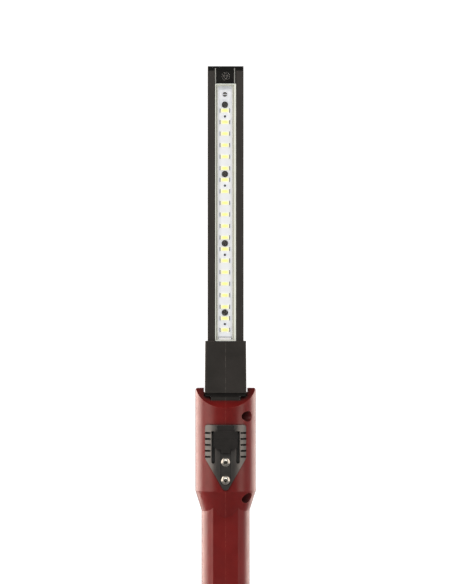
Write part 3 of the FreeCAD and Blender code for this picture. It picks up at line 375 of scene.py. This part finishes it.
# every material: the function that makes it, and what it is given
FINISHES = {
    # painted shade in the screw holes and the pocket by the bracket, through groove
    "red_housing": (moulded, dict(
        dark=(0.150, 0.0075, 0.0070), light=(0.185, 0.0105, 0.0095), wear_and_highlight=(0.36, 0.09, 0.07),
        roughness=0.33, grain=0.32 * MM, depth=0.008 * MM, specular=0.42, groove=8.0 * MM)),
    # painted shadow under the bracket: a darker band on its foot, through shade
    "black_plastic": (moulded, dict(
        dark=(0.022, 0.021, 0.019), light=(0.031, 0.029, 0.027), wear_and_highlight=(0.15, 0.14, 0.13),
        roughness=0.50, grain=0.40 * MM, depth=0.016 * MM, specular=0.35,
        shade=("Z", FOOT_SHADOW_BOTTOM, FOOT_SHADOW_TOP, FOOT_SHADOW_FADE))),
    # painted shade in the grooves between the ribs, through groove
    "port_plastic": (moulded, dict(
        dark=(0.015, 0.015, 0.014), light=(0.025, 0.024, 0.022), wear_and_highlight=(0.16, 0.157, 0.145),
        roughness=0.36, grain=0.35 * MM, depth=0.008 * MM, specular=1.0, groove=1.8 * MM,
        index=1.68)),
    "block_plastic": (moulded, dict(
        dark=(0.014, 0.014, 0.013), light=(0.021, 0.020, 0.020), wear_and_highlight=(0.05, 0.05, 0.048),
        roughness=0.55, grain=0.35 * MM, depth=0.008 * MM, specular=0.3)),
    "seal_rubber": (moulded, dict(
        dark=(0.018, 0.018, 0.018), light=(0.028, 0.028, 0.028), wear_and_highlight=(0.06, 0.06, 0.06),
        roughness=0.7, grain=0.3 * MM, depth=0.012 * MM)),
    "button_rubber": (moulded, dict(
        dark=(0.020, 0.020, 0.021), light=(0.030, 0.030, 0.031), wear_and_highlight=(0.07, 0.07, 0.07),
        roughness=0.62, grain=0.3 * MM, depth=0.012 * MM)),
    "component_black": (moulded, dict(
        dark=(0.03, 0.03, 0.03), light=(0.045, 0.045, 0.045), wear_and_highlight=(0.10, 0.10, 0.10),
        roughness=0.5, grain=0.2 * MM, depth=0.006 * MM)),
    "nylon": (moulded, dict(
        dark=(0.62, 0.60, 0.53), light=(0.70, 0.68, 0.61), wear_and_highlight=(0.8, 0.79, 0.74),
        roughness=0.5, grain=0.4 * MM, depth=0.008 * MM)),
    # painted light: the diodes' bodies and the plug glow, though they are no lamp
    "led_body": (printed, dict(
        dark=(0.88, 0.87, 0.74), light=(0.96, 0.95, 0.80),
        roughness=0.4, size=1.5 * MM, depth=0.003 * MM, painted_glow=0.38)),
    "plug_body": (printed, dict(
        dark=(0.90, 0.90, 0.88), light=(0.96, 0.96, 0.94),
        roughness=0.4, size=1.5 * MM, depth=0.003 * MM, painted_glow=0.35)),
    "anodised_bar": (drawn_metal, dict(
        dark=(0.031, 0.029, 0.027), light=(0.042, 0.039, 0.036),
        roughness=0.46, metallic=0.25, depth=0.005 * MM, along=(1.0, 1.0, 0.012))),
    "steel": (drawn_metal, dict(
        dark=(0.40, 0.40, 0.41), light=(0.55, 0.55, 0.56),
        roughness=0.3, metallic=1.0, depth=0.004 * MM, along=(0.2, 1.0, 1.0))),
    "black_screw": (drawn_metal, dict(
        dark=(0.005, 0.005, 0.005), light=(0.014, 0.014, 0.014),
        roughness=0.28, metallic=0.1, depth=0.006 * MM, specular=0.2)),
    "solder": (drawn_metal, dict(
        dark=(0.03, 0.03, 0.028), light=(0.11, 0.11, 0.105),
        roughness=0.45, metallic=0.3, depth=0.02 * MM)),
    "contact_plating": (plated_stud, {}),
    "magnet_plating": (drawn_metal, dict(
        dark=(0.48, 0.48, 0.49), light=(0.60, 0.60, 0.61),
        roughness=0.22, metallic=1.0, depth=0.003 * MM)),
    "brass_strip": (drawn_metal, dict(
        dark=(0.55, 0.38, 0.14), light=(0.70, 0.50, 0.22),
        roughness=0.3, metallic=1.0, depth=0.004 * MM, along=(1.0, 1.0, 0.05))),
    "bush_bronze": (drawn_metal, dict(
        dark=(0.36, 0.22, 0.09), light=(0.48, 0.31, 0.14),
        roughness=0.45, metallic=1.0, depth=0.012 * MM)),
    "black_gloss": (printed, dict(
        dark=(0.006, 0.006, 0.006), light=(0.012, 0.012, 0.011),
        roughness=0.16, size=6 * MM, depth=0.004 * MM)),
    # painted light: the board glows, standing in for light in the channel
    "white_board": (printed, dict(
        dark=(0.83, 0.86, 0.92), light=(0.91, 0.94, 0.99),
        roughness=0.35, size=3 * MM, depth=0.004 * MM, painted_glow=0.36)),
    "circuit_board": (printed, dict(
        dark=(0.010, 0.10, 0.035), light=(0.016, 0.15, 0.055),
        roughness=0.35, size=2 * MM, depth=0.006 * MM)),
    "cell_wrap": (printed, dict(
        dark=(0.02, 0.07, 0.20), light=(0.03, 0.10, 0.27),
        roughness=0.25, size=8 * MM, depth=0.01 * MM)),
    "wire_red": (printed, dict(
        dark=(0.32, 0.012, 0.010), light=(0.45, 0.022, 0.016),
        roughness=0.4, size=3 * MM, depth=0.006 * MM)),
    "tab_screw": (worn_and_highlit_screw, {}),
    "clear_lens": (clear_plate, {}),
    "phosphor": (phosphor_gel, {}),
    # the frosted border and the ribs glow a little as painted light
    "rim_frost": (plate_edge, dict(
        dark=(0.66, 0.71, 0.66), light=(0.76, 0.81, 0.75), roughness=0.35, painted_glow=0.26)),
    # painted shadow: the step on the left side of the rim, dark
    "rim_step": (plate_edge, dict(
        dark=(0.04, 0.045, 0.04), light=(0.10, 0.105, 0.10), roughness=0.4, painted_glow=0.0)),
    # painted light: the clear bevel is painted pale and glows a little
    "rim_clear": (plate_edge, dict(
        dark=(0.62, 0.66, 0.60), light=(0.76, 0.80, 0.73), roughness=0.3, painted_glow=0.10)),
    # painted light: the same step on the other sides, lighter
    "rim_shaded": (plate_edge, dict(
        dark=(0.26, 0.28, 0.24), light=(0.36, 0.38, 0.33), roughness=0.35, painted_glow=0.05)),
    "rim_rib": (plate_edge, dict(
        dark=(0.24, 0.26, 0.25), light=(0.36, 0.38, 0.37), roughness=0.35, painted_glow=0.05)),
}


def build_materials():
    return {name: recipe(name, **values) for name, (recipe, values) in FINISHES.items()}


# ---- finish of the CAD pieces -------------------------------------------------------------------

# pieces whose finish isn't the usual one of their slot
SPECIAL_MATERIALS = {"charge_port_plate": "port_plastic", "charge_block": "block_plastic",
                     "end_cap_screw": "tab_screw"}

# width of the rounding on sharp edges, in millimetres
SOFT_EDGES = {
    "housing_left": 0.55, "housing_right": 0.55, "bracket_left": 0.25, "bracket_right": 0.25,
    "bar_extrusion": 0.15, "end_cap": 0.20, "tail_cap": 0.35, "stow_hook": 0.40,
    "power_button": 0.30, "charge_port_plate": 0.12, "charge_block": 0.25, "led_packages": 0.06,
    "led_board": 0.08, "lens": 0.12, "hinge_pin": 0.25, "magnet_cup": 0.15,
    "charge_contacts": 0.08, "housing_screws": 0.10, "bracket_screws": 0.06,
    "bar_clamp_screws": 0.06, "board_screws": 0.08, "end_cap_screw": 0.08, "magnet_screw": 0.08,
}


def build_welder():
    """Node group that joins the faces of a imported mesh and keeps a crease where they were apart."""
    group = bpy.data.node_groups.new("weld_and_crease", "GeometryNodeTree")
    for direction in ("INPUT", "OUTPUT"):
        group.interface.new_socket("Geometry", in_out=direction, socket_type="NodeSocketGeometry")
    add, link = group.nodes.new, group.links.new
    incoming, outgoing = add("NodeGroupInput"), add("NodeGroupOutput")
    faces = add("GeometryNodeInputMeshEdgeNeighbors")
    alone = add("FunctionNodeCompare")
    alone.data_type = "INT"
    alone.operation = "EQUAL"
    whole_numbers = [socket for socket in alone.inputs if socket.type == "INT"]
    link(faces.outputs["Face Count"], whole_numbers[0])
    whole_numbers[1].default_value = 1
    store = add("GeometryNodeStoreNamedAttribute")
    store.domain = "EDGE"
    store.data_type = "BOOLEAN"
    store.inputs["Name"].default_value = "crease"
    merge = add("GeometryNodeMergeByDistance")
    merge.inputs["Distance"].default_value = WELD_DISTANCE
    crease = add("GeometryNodeInputNamedAttribute")
    crease.data_type = "BOOLEAN"
    crease.inputs["Name"].default_value = "crease"
    sharpen = add("GeometryNodeSetMeshNormal")
    link(incoming.outputs[0], store.inputs["Geometry"])
    link(alone.outputs["Result"], store.inputs["Value"])
    link(store.outputs[0], merge.inputs["Geometry"])
    link(merge.outputs[0], sharpen.inputs["Mesh"])
    link(crease.outputs["Attribute"], sharpen.inputs["Edge Sharpness"])
    link(sharpen.outputs[0], outgoing.inputs[0])
    return group


def soften(piece, width, welder):
    """Rounds the sharp edges of a piece, keeps its shallow creases and its faces flat."""
    piece.modifiers.new("weld", "NODES").node_group = welder
    bevel = piece.modifiers.new("soft_edges", "BEVEL")
    bevel.width = width
    bevel.segments = 2
    bevel.limit_method = "ANGLE"
    bevel.angle_limit = SHARP_ANGLE
    smooth = piece.modifiers.new("flat_faces", "WEIGHTED_NORMAL")
    smooth.keep_sharp = True


def dress_nodes(materials):
    """Gives every CAD piece its material, and softens the edges of those that show."""
    welder = build_welder()
    for row in frame["record"]["subparts"]:
        name = row["node"]
        piece = nodes[name]
        material = materials[SPECIAL_MATERIALS.get(name, row["material_slot"])]
        piece.data.materials.clear()
        piece.data.materials.append(material)
        if name in SOFT_EDGES:
            soften(piece, SOFT_EDGES[name] * MM, welder)


# ---- extra pieces of the light bar --------------------------------------------------------------

# surfaces of the rim (the step is painted dark as shadow on the left side, and a copy of it painted
# lighter as lit on the others), and which side of each of its loops is the left one
FROST, STEP, CLEAR, STEP_PAINTED_LIGHT = range(4)
LEFT_SIDE = 0

# section of the rim in millimetres, from the outside in: how far each loop stands in from the left,
# the right, the bottom and the top, how far behind the front of the plate it is, and the surface
# between it and the loop before
RIM_SECTION = (
    (0.00, 0.00, 0.10, 0.10, 0.30, None),
    (0.00, 0.00, 0.10, 0.10, -0.08, FROST),
    (0.62, 1.12, 0.62, 0.68, -0.08, FROST),
    (1.06, 1.52, 0.68, 0.95, 0.60, STEP),
    (1.35, 1.72, 0.72, 1.30, 0.45, CLEAR),
    (1.62, 2.15, 0.76, 1.65, 0.90, CLEAR),
    (1.70, 2.45, 0.80, 1.75, 1.05, STEP),
)
RIM_OVER_BOARD = 0.18 * MM
RIM_THICKNESS = 0.12 * MM
RIM_BEVEL = 0.05 * MM
RIB_WIDTH = 0.55 * MM
RIB_BEVEL = 0.12 * MM

# surfaces of the board's plug
PLUG_WHITE, PLUG_BLACK = range(2)


def mesh_piece(name, build, materials, body):
    """New piece whose mesh build(bmesh) fills, with the given materials, riding on a body."""
    mesh = bpy.data.meshes.new(name)
    shape = bmesh.new()
    build(shape)
    bmesh.ops.recalc_face_normals(shape, faces=shape.faces)
    shape.to_mesh(mesh)
    shape.free()
    piece = bpy.data.objects.new(name, mesh)
    for material in materials:
        mesh.materials.append(material)
    bpy.context.scene.collection.objects.link(piece)
    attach(piece, body)
    return piece


def rectangle_loop(shape, x0, x1, y, z0, z1):
    return [shape.verts.new((x, y, z)) for x, z in ((x0, z0), (x1, z0), (x1, z1), (x0, z1))]


def soft_box(shape, x_range, y_range, z_range, bevel, kind=0):
    """Adds a box with rounded edges. Each range is its lower and upper end in metres."""
    corners = bmesh.ops.create_cube(shape, size=1.0)["verts"]
    for corner in corners:
        corner.co = Vector([ends[0] if side < 0 else ends[1]
                            for side, ends in zip(corner.co, (x_range, y_range, z_range))])
    for face in shape.faces:
        if face.verts[0] in corners:
            face.material_index = kind
    edges = [edge for edge in shape.edges if edge.verts[0] in corners]
    bmesh.ops.bevel(shape, geom=edges, offset=bevel, segments=2, profile=0.5, affect="EDGES")


def build_lens_rim(materials):
    """Moulded rim of the clear plate: frosted border, step and clear bevel around the window. Its
    step is painted dark as shadow on the left side and lighter as lit on the others.

    Its two sides run on as thin ribs beside the tab of the end cap.
    """
    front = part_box("lens")[0].y
    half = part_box("led_board")[1].x + RIM_OVER_BOARD
    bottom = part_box("bracket_left")[1].z
    cap_low, cap_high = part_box("end_cap")

    def fill(shape):
        outer = None
        for left, right, below, above, depth, kind in RIM_SECTION:
            inner = rectangle_loop(shape, -half + left * MM, half - right * MM, front + depth * MM,
                                   bottom + below * MM, cap_low.z - above * MM)
            if outer:
                for side in range(4):
                    corners = (outer[side], outer[side - 1], inner[side - 1], inner[side])
                    # painted shadow and light: the step is dark on the left side and lighter on the
                    # others
                    shaded = kind == STEP and side != LEFT_SIDE
                    shape.faces.new(corners).material_index = STEP_PAINTED_LIGHT if shaded else kind
            outer = inner

    surfaces = [materials[name] for name in ("rim_frost", "rim_step", "rim_clear", "rim_shaded")]
    rim = mesh_piece("lens_rim", fill, surfaces, "light_bar")
    rim.modifiers.new("thickness", "SOLIDIFY").thickness = RIM_THICKNESS
    bevel = rim.modifiers.new("soft_edges", "BEVEL")
    bevel.width = RIM_BEVEL
    bevel.limit_method = "ANGLE"

    def fill_ribs(shape):
        depths = (cap_low.y - 0.10 * MM, cap_low.y + 0.9 * MM)
        heights = (cap_low.z + 0.2 * MM, cap_high.z - 1.2 * MM)
        for start in (-half - 0.1 * MM, half - 1.15 * MM):
            soft_box(shape, (start, start + RIB_WIDTH), depths, heights, RIB_BEVEL)

    mesh_piece("rim_ribs", fill_ribs, [materials["rim_rib"]], "light_bar")


def build_board_end(materials):
    """Plug at the board's lower end: a dark edge line above a white housing with two pins."""
    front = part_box("led_board")[0].y
    row = sum(corner.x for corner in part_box("led_packages")) / 2
    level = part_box("bracket_left")[1].z

    def add(shape, left, right, proud, below, above, bevel, kind):
        """A box given in millimetres from the row, the board's front and the bracket's top."""
        soft_box(shape, (row + left * MM, row + right * MM), (front - proud * MM, front + 0.1 * MM),
                 (level + below * MM, level + above * MM), bevel * MM, kind)

    def fill(shape):
        add(shape, -4.3, 4.3, 0.25, 2.15, 2.65, 0.05, PLUG_BLACK)
        add(shape, -4.9, -3.9, 0.6, 1.1, 1.9, 0.1, PLUG_BLACK)
        add(shape, 3.9, 4.9, 0.6, 1.1, 1.9, 0.1, PLUG_BLACK)
        add(shape, -3.5, 3.5, 2.2, 0.6, 1.9, 0.15, PLUG_WHITE)

    mesh_piece("board_plug", fill, [materials["plug_body"], materials["black_gloss"]],
               "light_bar")


# ---- stage --------------------------------------------------------------------------------------

# soft boxes: azimuth (0 in front, 90 on the viewer's left) and elevation in degrees, distance from
# the target, width and height in metres, radiance and colour
WARM = (1.0, 0.85, 0.74)
PLAIN = (1.0, 0.97, 0.94)
SOFT_BOXES = {
    "left_box": (127, 8, 0.95, 0.90, 1.15, 4.6, WARM),
    "right_box": (-137, 8, 0.95, 0.70, 1.15, 2.9, WARM),
    "left_front_box": (68, 8, 1.10, 0.80, 1.1, 2.3, WARM),
    "right_front_box": (-60, 8, 1.10, 0.42, 1.1, 2.6, WARM),
    "front_box": (0, 33, 1.30, 1.1, 0.45, 3.8, PLAIN),
    "left_rim_box": (74, 46, 1.10, 0.34, 0.34, 8.0, WARM),
    "right_rim_box": (-74, 46, 1.10, 0.34, 0.34, 5.0, WARM),
}


def paper(name, colour):
    shader = Shader(name)
    fibres = shader.noise(3 * MM, 3.0)
    shader.colour(shader.mix(fibres, colour, [part + 0.02 for part in colour]))
    shader.roughness(shader.spread(fibres, 0.75, 0.85))
    return shader.material


def build_floor():
    mesh = bpy.data.meshes.new("floor")
    shape = bmesh.new()
    bmesh.ops.create_circle(shape, cap_ends=True, segments=96, radius=FLOOR_RADIUS)
    shape.to_mesh(mesh)
    shape.free()
    floor = bpy.data.objects.new("floor", mesh)
    floor.location.z = -FLOOR_DROP
    floor.data.materials.append(paper("paper_floor", (0.70, 0.755, 0.80)))
    floor.visible_glossy = False
    bpy.context.scene.collection.objects.link(floor)
    floor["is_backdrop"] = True


def build_world():
    """Grey room, brighter behind the light than in front, and plain white as a backdrop."""
    world = bpy.data.worlds.new("studio")
    bpy.context.scene.world = world
    world.use_nodes = True
    add, link = world.node_tree.nodes.new, world.node_tree.links.new
    direction = add("ShaderNodeSeparateXYZ")
    link(add("ShaderNodeTexCoord").outputs["Generated"], direction.inputs["Vector"])

    def ramp(axis, low, high, low_value, high_value):
        node = add("ShaderNodeMapRange")
        node.inputs["From Min"].default_value = low
        node.inputs["From Max"].default_value = high
        node.inputs["To Min"].default_value = low_value
        node.inputs["To Max"].default_value = high_value
        link(direction.outputs[axis], node.inputs["Value"])
        return node.outputs["Result"]

    def product(first, second):
        node = add("ShaderNodeMath")
        node.operation = "MULTIPLY"
        link(first, node.inputs[0])
        link(second, node.inputs[1])
        return node.outputs["Value"]

    front_to_back = ramp("Y", -0.6, 0.6, ROOM_FRONT, ROOM_BACK)
    from_floor = ramp("Z", -0.30, 0.05, 0.25, 1.0)
    to_ceiling = ramp("Z", 0.20, 0.65, 1.0, ROOM_CEILING)
    room = add("ShaderNodeBackground")
    link(product(product(front_to_back, from_floor), to_ceiling), room.inputs["Strength"])
    backdrop = world.node_tree.nodes["Background"]
    backdrop.inputs["Color"].default_value = (1.0, 1.0, 1.0, 1.0)
    backdrop.inputs["Strength"].default_value = BACKDROP
    mix = add("ShaderNodeMixShader")
    link(add("ShaderNodeLightPath").outputs["Is Camera Ray"], mix.inputs["Fac"])
    link(room.outputs["Background"], mix.inputs[1])
    link(backdrop.outputs["Background"], mix.inputs[2])
    link(mix.outputs["Shader"], world.node_tree.nodes["World Output"].inputs["Surface"])


def soft_light(name, azimuth, elevation, distance, width, height, radiance, colour):
    """Soft box that faces LIGHT_TARGET, from the values in SOFT_BOXES."""
    turn, lift = math.radians(azimuth), math.radians(elevation)
    level = math.cos(lift)
    away = Vector((-math.sin(turn) * level, -math.cos(turn) * level, math.sin(lift)))
    data = bpy.data.lights.new(name, "AREA")
    data.shape = "RECTANGLE"
    data.size = width
    data.size_y = height
    data.energy = radiance * math.pi * width * height
    data.color = colour
    lamp = bpy.data.objects.new(name, data)
    lamp.location = LIGHT_TARGET + distance * away
    lamp.rotation_euler = (-away).to_track_quat("-Z", "Y").to_euler()
    bpy.context.scene.collection.objects.link(lamp)


def build_lights():
    for name, values in SOFT_BOXES.items():
        soft_light(name, *values)


def build_camera():
    """A long lens straight in front, which sees the whole bar and the head of the handle."""
    data = bpy.data.cameras.new("camera")
    data.sensor_fit = "VERTICAL"
    data.sensor_height = SENSOR_HEIGHT
    data.lens = SENSOR_HEIGHT * CAMERA_DISTANCE / VIEW_HEIGHT
    camera = bpy.data.objects.new("camera", data)
    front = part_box("bar_extrusion")[0].y
    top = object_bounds()[1].z
    camera.location = (CAMERA_X, front - CAMERA_DISTANCE, top - CAMERA_BELOW_TOP)
    camera.rotation_euler = (math.radians(90), 0, 0)
    bpy.context.scene.collection.objects.link(camera)
    bpy.context.scene.camera = camera


def set_colour_view():
    bpy.context.scene.view_settings.view_transform = "Standard"
    bpy.context.scene.view_settings.look = "None"


# ---- the scene ----------------------------------------------------------------------------------

materials = build_materials()
dress_nodes(materials)
build_lens_rim(materials)
build_board_end(materials)
build_floor()
build_world()
build_lights()
build_camera()
set_colour_view()
